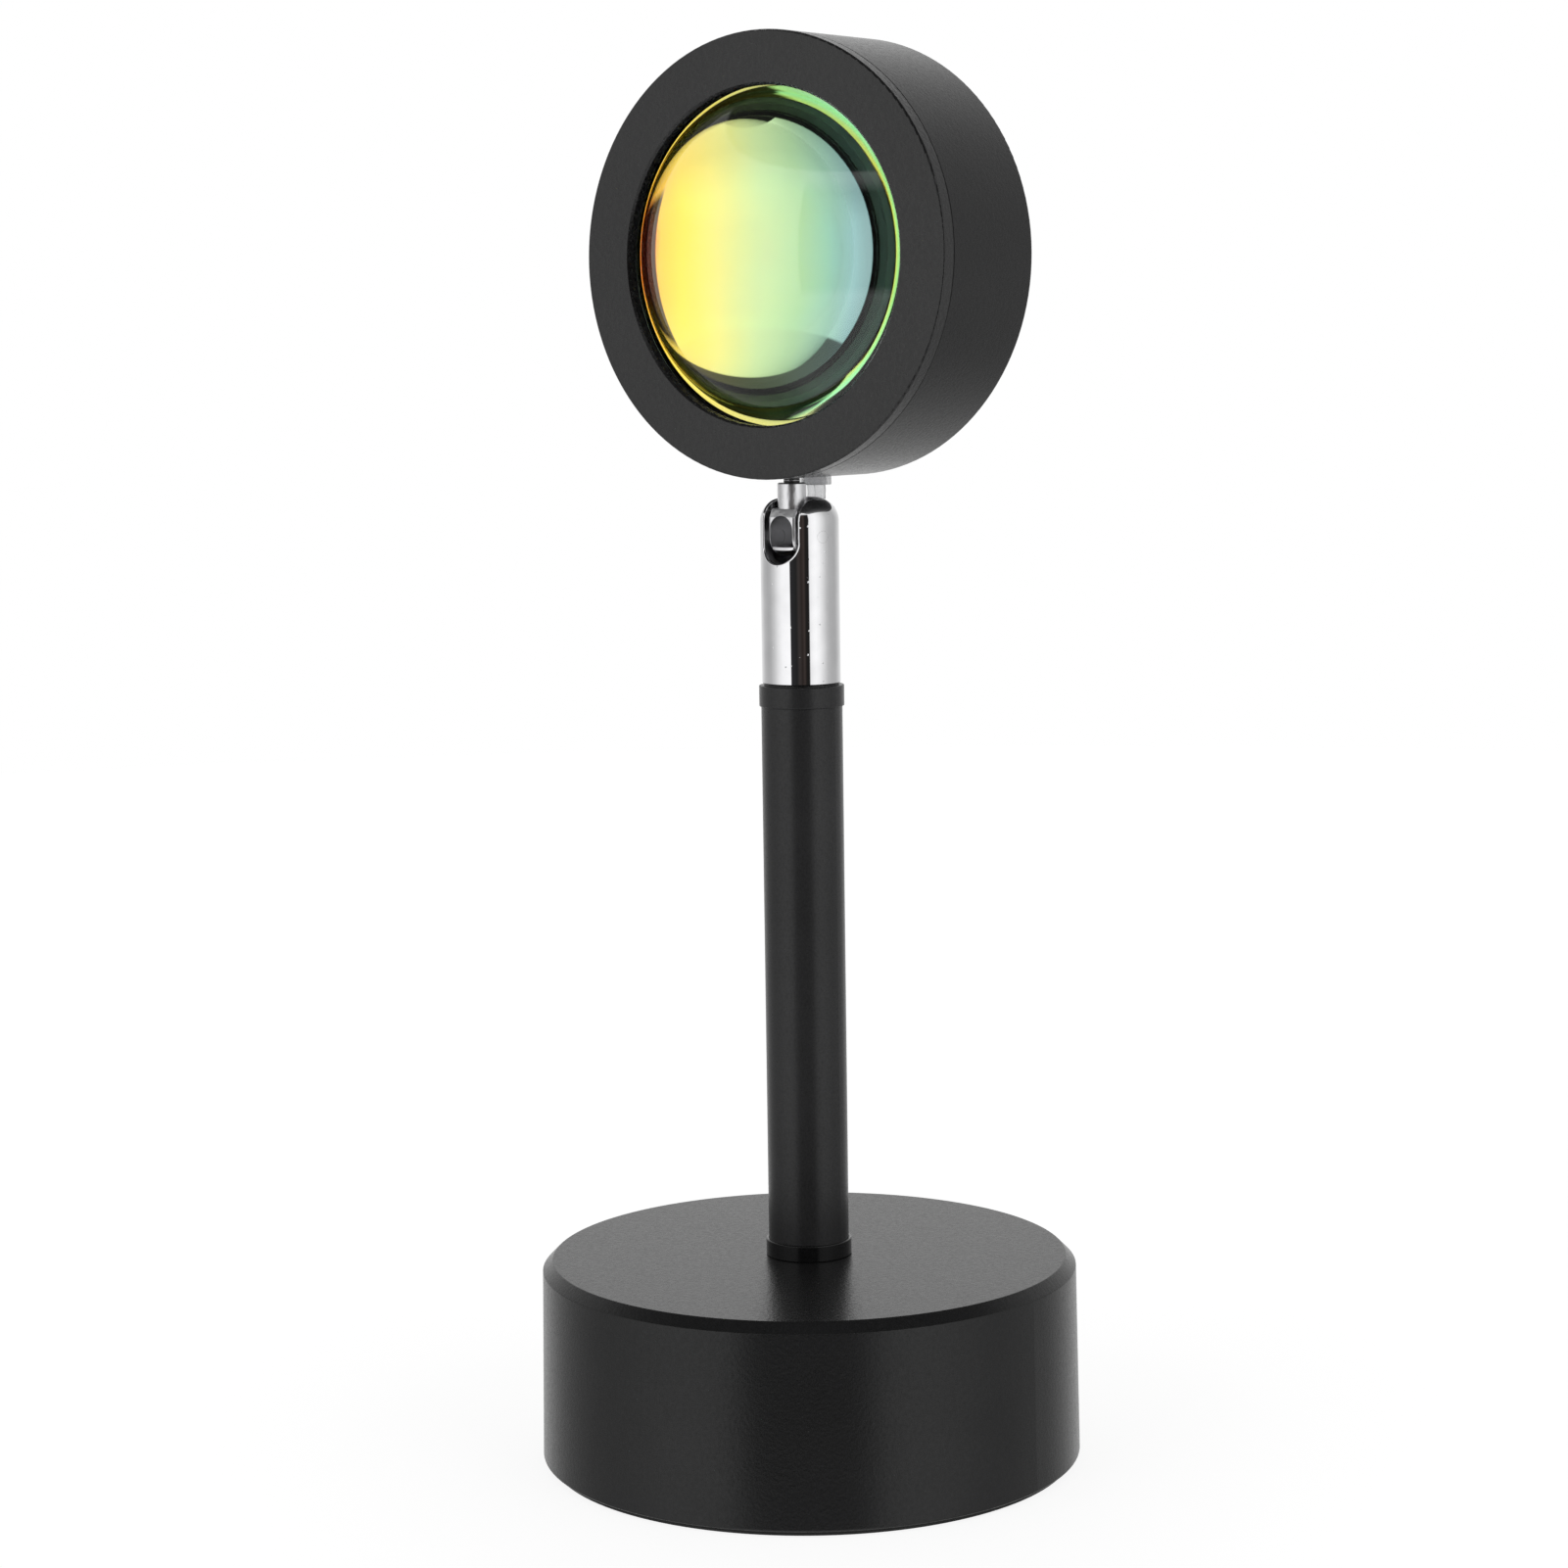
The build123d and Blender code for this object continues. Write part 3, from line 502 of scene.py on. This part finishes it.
# %% [markdown]
# ## Glass and mirror
# The lens is clear glass, and what gives it colour is the mirror right behind it: a stack of thin layers that
# throws back one part of the light and lets the other through to the wall. Light that meets the layers at a
# slant travels farther in them, so the colour runs from red through yellow and green to pale blue. The
# Facing output of a Layer Weight node is one minus the cosine of that slant, and a ramp turns it into the
# colour of the gloss. Slow noise on the disc stands for layers that are never equally thick.

# %% Glass and mirror
COATING = [                  # slant in degrees, colour of the gloss
    (0, (1.00, 0.10, 0.02)), (9, (1.00, 0.24, 0.03)), (15, (1.00, 0.56, 0.04)), (26, (1.00, 0.74, 0.08)),
    (33, (0.92, 0.78, 0.16)), (39, (0.80, 0.82, 0.26)), (45, (0.67, 0.88, 0.40)), (51, (0.60, 0.95, 0.50)),
    (56, (0.54, 0.99, 0.72)), (61, (0.53, 1.00, 0.97)), (70, (0.62, 0.98, 1.00)), (88, (0.95, 0.97, 1.00))]
LAYER_PATCH = 16.0           # size of a patch of even layers
LAYER_DRIFT = 0.012          # how far it shifts the ramp
MIRROR_BLUR = (0.012, 0.030)
GLASS_PATCH = 20.0
GLASS_GREEN = (0.985, 0.995, 0.990)
GLASS_CLEAR = (1.0, 1.0, 1.0)


def clear_glass():
    """Clear glass with a breath of green that comes and goes."""
    tree, shader = new_finish("lens_glass", IOR=1.5, Transmission_Weight=1.0, Roughness=0.0)
    haze = grain(tree, millimetres(tree), GLASS_PATCH)
    join(tree, tones(tree, haze, GLASS_GREEN, GLASS_CLEAR), shader, "Base Color")


def colour_mirror():
    """Mirror whose gloss is a ramp over 1 - cos(slant), shifted a little by slow noise."""
    tree, shader = new_finish("colour_coating", Metallic=1.0)
    facing = add_node(tree, "LayerWeight", {"Blend": 0.5}).outputs["Facing"]
    patches = grain(tree, millimetres(tree), LAYER_PATCH)
    drift = spread(tree, patches, *NOISE, -LAYER_DRIFT, LAYER_DRIFT)
    stops = [(1 - math.cos(math.radians(slant)), colour) for slant, colour in COATING]
    join(tree, colours(tree, calculate(tree, "ADD", facing, drift), stops), shader, "Base Color")
    join(tree, spread(tree, drift, -LAYER_DRIFT, LAYER_DRIFT, *MIRROR_BLUR), shader, "Roughness")


clear_glass()
colour_mirror()
two_tone("ground_glass", (0.36, 0.46, 0.34), (0.50, 0.60, 0.46), 0.5, 0.70)
print("mirror ramp of", len(COATING), "colours")

# %% [markdown]
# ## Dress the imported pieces
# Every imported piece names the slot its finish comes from. One loop hands out the finishes by that name, and a
# few pieces get a variant of their own instead.

# %% Dress the nodes
VARIANTS = {
    "front_bezel": "black_bezel_coat",
    "upper_collar": "black_satin_paint",
    "knuckle": "cast_chrome",
    "pivot_pins": "pin_chrome",
    "head_screw": "threaded_steel"}
for name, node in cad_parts.items():
    slot = node.material_slots[0]
    slot.material = FINISHES[VARIANTS.get(name, slot.material.name)]
print(len(FINISHES), "finishes for", len(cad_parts), "nodes and the new pieces")

# %% [markdown]
# ## Surfaces from numpy
# The fine pieces are surfaces on a grid of two parameters: one runs along an outline, the other round an axis
# or along a path. Whole arrays hold all points at once, and the faces are index sums. The first and the last
# ring are closed by caps. The volume, summed over the faces, is positive when they face outwards, and where
# it isn't, all faces are turned round.

# %% Helpers for surfaces
POLE_R = 0.2                 # radius of the ring next to the axis, which a cap closes


def volume_of(points, faces):
    """A sixth of the sum of a . (b x c) over the triangles that fan out from each face's first corner."""
    total = 0.0
    for corner in range(1, faces.shape[1] - 1):
        a, b, c = points[faces[:, 0]], points[faces[:, corner]], points[faces[:, corner + 1]]
        total += np.einsum("ij,ij->", a, np.cross(b, c)) / 6
    return total


def closed_grid(name, grid, finishes, bands=None, sharp=30.0):
    """A closed piece from a grid of points, rows x sides x 3: sides run round, ends are capped.

    Bands give the number of the finish for each strip between two rows; without them all take the first.
    Edges that turn by more than sharp, in degrees, stay sharp.
    """
    rows, sides, _ = grid.shape
    ends = grid[[0, -1]].mean(axis=1)
    points = np.concatenate([grid.reshape(-1, 3), ends])
    row, side = np.meshgrid(np.arange(rows - 1), np.arange(sides), indexing="ij")
    following = (side + 1) % sides
    quads = np.stack([row * sides + side, row * sides + following,
                      (row + 1) * sides + following, (row + 1) * sides + side], axis=-1).reshape(-1, 4)
    here = np.arange(sides)
    after = (here + 1) % sides
    start = np.stack([after, here, np.full(sides, rows * sides)], axis=1)
    last = (rows - 1) * sides
    end = np.stack([last + here, last + after, np.full(sides, rows * sides + 1)], axis=1)
    volume = volume_of(points, quads) + volume_of(points, start) + volume_of(points, end)
    if volume < 0:
        quads, start, end = quads[:, ::-1], start[:, ::-1], end[:, ::-1]
    mesh = bpy.data.meshes.new(name)
    mesh.from_pydata(points.tolist(), [], quads.tolist() + start.tolist() + end.tolist())
    mesh.shade_smooth()
    mesh.set_sharp_from_angle(angle=math.radians(sharp))
    for finish in finishes:
        mesh.materials.append(FINISHES[finish])
    if bands is not None:
        numbers = np.concatenate([np.repeat(bands, sides), np.zeros(2 * sides, dtype=int)])
        mesh.polygons.foreach_set("material_index", numbers.astype(np.int32))
    piece = bpy.data.objects.new(name, mesh)
    bpy.context.scene.collection.objects.link(piece)
    print(name, len(points), "points,", round(abs(volume) / MM ** 3), "cubic mm")
    return piece


def arc(centre, radius, start, end, count):
    """Points of a circle's arc: centre plus radius times (sine, -cosine) of the angle, in degrees."""
    turn = np.radians(np.linspace(start, end, count))
    return np.stack([centre[0] + radius * np.sin(turn), centre[1] - radius * np.cos(turn)], axis=1)


def turned_grid(outline, centre, sides):
    """An outline of (radius, depth) in mm carried round an axis along Y through the centre."""
    turn = np.linspace(0, 2 * math.pi, sides, endpoint=False)
    radius, depth = outline[:, :1] * MM, outline[:, 1:] * MM
    shape = (len(outline), sides)
    x = centre[0] + radius * np.cos(turn)
    y = np.broadcast_to(depth, shape)
    z = centre[2] + radius * np.sin(turn)
    return np.stack([x, y, z], axis=-1)


print("surface helpers ready")

# %% [markdown]
# ## The lens
# The lens is a thick cap of glass on a round flange. A sphere cut by a plane would do, but a lens is really
# turned from one outline: the dome's arc, a bevel that eases into a flat flange, a rim with its edges broken,
# and a flat back. The bevel is only half a millimetre high, yet it matters: like a prism it sends the eye to
# another colour of the mirror on each side, orange at the left and green at the right. The rim is left as
# the grinding wheel leaves it, matt and pale, and that shows as the olive ring inside the glass, so the
# strips of the rim take a second finish. The lens sits half a millimetre above the middle of its opening,
# within its play in the bezel, so its flange shows more below than above.

# %% Lens
DOME_FOOT_R = 28.8
DOME_START = 0.2             # angle of the dome's first ring, in degrees from the axis
DOME_ROWS = 150
BEVEL_H = 0.55               # height of the bevel at the dome's foot
BEVEL_R = 30.5               # where the bevel meets the flat flange
LENS_RISE = 0.5
RIM_BREAK = 0.25             # broken edge of the rim
AIR_GAP = 0.05               # between lens and mirror
TURN_SIDES = 400
lens_low, lens_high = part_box("lens")
lens_axis = (lens_low + lens_high) / 2 + Vector((0, 0, LENS_RISE * MM))
rim_r = (lens_high.x - lens_low.x) / 2 / MM
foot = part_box("lens_seal")[1].y / MM
back = lens_high.y / MM - AIR_GAP
dome_h = foot - BEVEL_H - lens_low.y / MM
sphere_r = (DOME_FOOT_R ** 2 + dome_h ** 2) / (2 * dome_h)
foot_angle = math.degrees(math.asin(DOME_FOOT_R / sphere_r))


def lens_outline():
    """Apex to foot on the sphere, then bevel, flange, broken rim and back, as (radius, depth)."""
    dome = arc((0.0, lens_low.y / MM + sphere_r), sphere_r, DOME_START, foot_angle, DOME_ROWS)
    edge = [(BEVEL_R, foot), (rim_r - RIM_BREAK, foot), (rim_r, foot + RIM_BREAK), (rim_r, back - RIM_BREAK),
            (rim_r - RIM_BREAK, back), (POLE_R, back)]
    return np.concatenate([dome, edge])


outline = lens_outline()
ground_band = (outline[:-1, 0] + outline[1:, 0]) / 2 > rim_r - RIM_BREAK
lens_grid = turned_grid(outline, lens_axis, TURN_SIDES)
lens = closed_grid("domed_lens", lens_grid, ["lens_glass", "ground_glass"], ground_band.astype(int))
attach(lens, "head")
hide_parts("lens")
print("dome", round(dome_h, 2), "mm high on a sphere of", round(sphere_r, 1), "mm")

# %% [markdown]
# ## The mirror behind the lens
# A thin glass disc carries the coating. It lies against the lens with a breath of air between them, and that
# air matters: at steep angles the back of the lens mirrors by itself, which makes the bright rings near the
# rim.

# %% Mirror
disc_low, disc_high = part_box("colour_filter")


def mirror_outline():
    """Front face, two broken edges and back face, as (radius, depth)."""
    radius = (disc_high.x - disc_low.x) / 2 / MM
    front, rear = disc_low.y / MM, disc_high.y / MM
    return np.array([(POLE_R, front), (radius - RIM_BREAK, front), (radius, front + RIM_BREAK),
                     (radius, rear - RIM_BREAK), (radius - RIM_BREAK, rear), (POLE_R, rear)])


mirror_grid = turned_grid(mirror_outline(), lens_axis, TURN_SIDES)
disc = closed_grid("coloured_mirror", mirror_grid, ["colour_coating"])
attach(disc, "head")
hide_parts("colour_filter")

# %% [markdown]
# ## The sill of the knuckle's window
# The knuckle has an arched window, and a bright bar closes the window at its foot. A bevelled box would do.
# Here one rounded section is carried along the bar and shrinks towards both ends, so that the bar clears the
# slot's round floor when the head tilts. Its face leans back a little and mirrors the cloth.

# %% Sill
SILL_W = 5.5
SILL_H = 0.80
SILL_T = 1.0
SILL_LEAN = math.radians(14)
SILL_PLACE = (-2.68, -2.25)  # from the pivot: forward is minus, down is minus
SILL_ROOT = (-2.2, -1.7)     # the point in the knuckle that the ends shrink towards
SILL_REACH = 0.98            # share of the quarter turn that the rings cover at each end
SILL_RINGS = 41
SILL_SIDES = 48
pin_low, pin_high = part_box("pivot_pins")
pivot = (pin_low + pin_high) / 2 / MM


def signed_root(value):
    """Square root of the size, with the sign kept: turns a circle into a rounded square."""
    return np.sign(value) * np.sqrt(np.abs(value))


def sill_grid():
    """Section: forward and up = half sizes times signed roots of cos and sin; shrunk by (1 - |x|^3)^(1/3)."""
    turn = np.linspace(0, 2 * math.pi, SILL_SIDES, endpoint=False)
    forward = SILL_T / 2 * signed_root(np.cos(turn))
    up = SILL_H / 2 * signed_root(np.sin(turn))
    y = SILL_PLACE[0] - forward * math.cos(SILL_LEAN) + up * math.sin(SILL_LEAN)
    z = SILL_PLACE[1] + forward * math.sin(SILL_LEAN) + up * math.cos(SILL_LEAN)
    along = np.sin(np.linspace(-math.pi / 2, math.pi / 2, SILL_RINGS) * SILL_REACH)[:, None]
    shrink = np.cbrt(1 - np.abs(along) ** 3)
    x = np.broadcast_to(SILL_W / 2 * along, (SILL_RINGS, SILL_SIDES))
    y = pivot.y + SILL_ROOT[0] + shrink * (y - SILL_ROOT[0])
    z = pivot.z + SILL_ROOT[1] + shrink * (z - SILL_ROOT[1])
    return np.stack([x, y, z], axis=-1) * MM


sill = closed_grid("window_sill", sill_grid(), ["sill_chrome"], sharp=50.0)
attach(sill, "head")

# %% [markdown]
# ## The lead between elbow and head
# A flat twin lead crosses the gap. Its section is two round cores side by side with a groove between them, and
# it is carried along a short path with a slight bow. Its place is baked into its points.

# %% Lead
LEAD_W = 3.8
LEAD_T = 1.75
GROOVE_DEPTH = 0.32
GROOVE_W = 0.45
LEAD_BOW = 0.25
EDGE_CLOSING = 4.0           # how fast the section closes at its two edges
LEAD_RINGS = 40
LEAD_SIDES = 64
lead_low, lead_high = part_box("lead_bridge")


def lead_grid():
    """Half height h(x): a round end or a flat middle, less a groove exp(-(x / width)^2); bowed path."""
    turn = np.linspace(0, 2 * math.pi, LEAD_SIDES, endpoint=False)
    x = LEAD_W / 2 * np.cos(turn)
    round_r = LEAD_T / 2
    beyond = np.clip(np.abs(x) - (LEAD_W / 2 - round_r), 0, round_r)
    half = np.sqrt(round_r ** 2 - beyond ** 2) - GROOVE_DEPTH * np.exp(-(x / GROOVE_W) ** 2)
    y = np.sign(np.sin(turn)) * half * np.minimum(1.0, np.abs(np.sin(turn)) * EDGE_CLOSING)
    share = np.linspace(0, 1, LEAD_RINGS)[:, None]
    low_y = lead_low.y / MM + round_r
    high_y = lead_high.y / MM - round_r
    path_y = low_y + (high_y - low_y) * share + LEAD_BOW * np.sin(math.pi * share)
    path_z = (lead_low.z + (lead_high.z - lead_low.z) * share) / MM
    shape = (LEAD_RINGS, LEAD_SIDES)
    return np.stack([np.broadcast_to(x, shape), path_y + y, np.broadcast_to(path_z, shape)], axis=-1) * MM


lead = closed_grid("lead_between", lead_grid(), ["clear_vinyl"], sharp=60.0)
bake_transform(lead)
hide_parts("lead_bridge")
